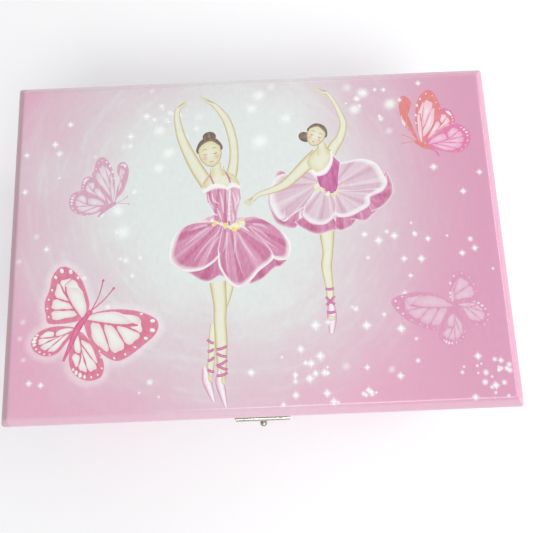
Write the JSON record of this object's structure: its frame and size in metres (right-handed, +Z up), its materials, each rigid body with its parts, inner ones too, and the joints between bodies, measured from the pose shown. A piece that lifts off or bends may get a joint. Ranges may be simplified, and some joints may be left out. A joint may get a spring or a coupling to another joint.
{
  "type": "musical jewellery box",
  "caption": "Wind-up musical jewellery box with a hinged bevelled lid, a front snap hasp, lined compartments and a dancer that rises and turns on a spring.",
  "frame": {"origin": "centre of the felt under the base, on the surface the box stands on", "axes": "+X to the box's right as seen from the latch, +Y from the latch to the hinges, +Z up"},
  "size_m": [0.22, 0.1776, 0.09],
  "materials": {
    "felt": "pressed wool felt, matt",
    "board": "bare pressed board",
    "body_paper": "board wrapped in glossy printed pink paper",
    "lid_paper": "board wrapped in glossy printed paper with dancers and butterflies",
    "velvet": "short pink velvet on thin board",
    "mirror_glass": "silvered glass",
    "nickel": "nickel plate with light wear",
    "brass": "turned and brushed brass",
    "pin_brass": "drawn wire pins",
    "steel": "brushed steel",
    "spring_steel": "polished spring wire",
    "cream_nylon": "moulded nylon",
    "doll": "painted moulded plastic",
    "tulle": "gathered pink tulle"
  },
  "bodies": {
    "box": {"base_felt": "felt", "base_board": "board", "front_wall": "body_paper", "rear_wall": "body_paper", "left_wall": "body_paper", "right_wall": "body_paper", "wall_lining": "velvet", "compartment_pads": "velvet", "cross_dividers": "velvet", "front_dividers": "velvet", "ring_foam": "velvet", "ring_roll_1": "velvet", "ring_roll_2": "velvet", "ring_roll_3": "velvet", "ring_roll_4": "velvet", "ring_roll_5": "velvet", "ring_roll_6": "velvet", "stage_top": "velvet", "stage_front": "velvet", "stage_sides": "velvet", "stage_bushes": "brass", "key_bush": "brass", "bedplate": "steel", "front_bracket": "steel", "rear_bracket": "steel", "comb_block": "brass", "comb": "steel", "movement_screws": "steel", "hinge_body_leaves": "nickel", "hinge_pins": "nickel", "hinge_body_screws": "nickel", "latch_catch": "nickel"},
    "barrel": {"barrel_drum": "steel", "great_wheel": "brass", "mainspring": "spring_steel"},
    "key": {"winding_arbor": "steel", "winding_key": "nickel"},
    "cylinder": {"music_cylinder": "brass", "cylinder_pins": "pin_brass", "cylinder_arbor": "steel", "cylinder_wheels": "brass"},
    "governor": {"governor_wheels": "cream_nylon"},
    "fly": {"governor_worm": "cream_nylon", "air_brake": "cream_nylon"},
    "spindle": {"spindle_shaft": "steel", "spindle_wheel": "cream_nylon", "dancer_spring": "spring_steel"},
    "dancer": {"dancer_figure": "doll", "dancer_skirt": "tulle"},
    "stop": {"stop_rod": "steel", "stop_spring": "spring_steel"},
    "lid": {"lid_top_panel": "lid_paper", "lid_rails": "lid_paper", "lid_lining": "velvet", "mirror": "mirror_glass", "mirror_frame": "velvet", "hinge_lid_leaves": "nickel", "hinge_lid_screws": "nickel", "latch_lid_plate": "nickel"},
    "hasp": {"latch_hasp": "nickel"}
  },
  "joints": [
    {"name": "lid_hinge", "type": "hinge", "parent": "box", "child": "lid", "pos_m": [0, 0.0791, 0.07015], "axis": [-1, 0, 0], "range_deg": [0, 95]},
    {"name": "hasp_swing", "type": "hinge", "parent": "lid", "child": "hasp", "pos_m": [0, -0.0791, 0.0722], "axis": [-1, 0, 0], "range_deg": [0, 135]},
    {"name": "key_turn", "type": "hinge", "parent": "box", "child": "key", "pos_m": [-0.0192, 0.082, 0.021], "axis": [0, 1, 0], "continuous": true},
    {"name": "cylinder_spin", "type": "hinge", "parent": "box", "child": "cylinder", "pos_m": [0, 0.052, 0.021], "axis": [0, 1, 0], "continuous": true},
    {"name": "barrel_spin", "type": "hinge", "parent": "box", "child": "barrel", "pos_m": [-0.0192, 0.05, 0.021], "axis": [0, 1, 0], "continuous": true},
    {"name": "governor_spin", "type": "hinge", "parent": "box", "child": "governor", "pos_m": [0.012, 0.065, 0.021], "axis": [0, 1, 0], "continuous": true},
    {"name": "fly_spin", "type": "hinge", "parent": "box", "child": "fly", "pos_m": [0.0186, 0.065, 0.021], "axis": [0, 0, 1], "continuous": true},
    {"name": "spindle_spin", "type": "hinge", "parent": "box", "child": "spindle", "pos_m": [0, 0.02, 0.03], "axis": [0, 0, 1], "continuous": true},
    {"name": "dancer_fold", "type": "hinge", "parent": "spindle", "child": "dancer", "pos_m": [0, 0.02, 0.04545], "axis": [-1, 0, 0], "range_deg": [0, 62], "deforming": ["dancer_spring"]},
    {"name": "stop_slide", "type": "slide", "parent": "box", "child": "stop", "axis": [0, 0, 1], "range_m": [0, 0.004], "deforming": ["stop_spring"]}
  ],
  "couplings": [
    {"joint": "barrel_spin", "follows": "cylinder_spin", "ratio": -0.5},
    {"joint": "governor_spin", "follows": "cylinder_spin", "ratio": -3},
    {"joint": "fly_spin", "follows": "cylinder_spin", "ratio": -60},
    {"joint": "spindle_spin", "follows": "cylinder_spin", "ratio": -1},
    {"joint": "dancer_fold", "follows": "lid_hinge", "ratio": 0.6526},
    {"joint": "stop_slide", "follows": "lid_hinge", "m_per_rad": 0.00241}
  ]
}
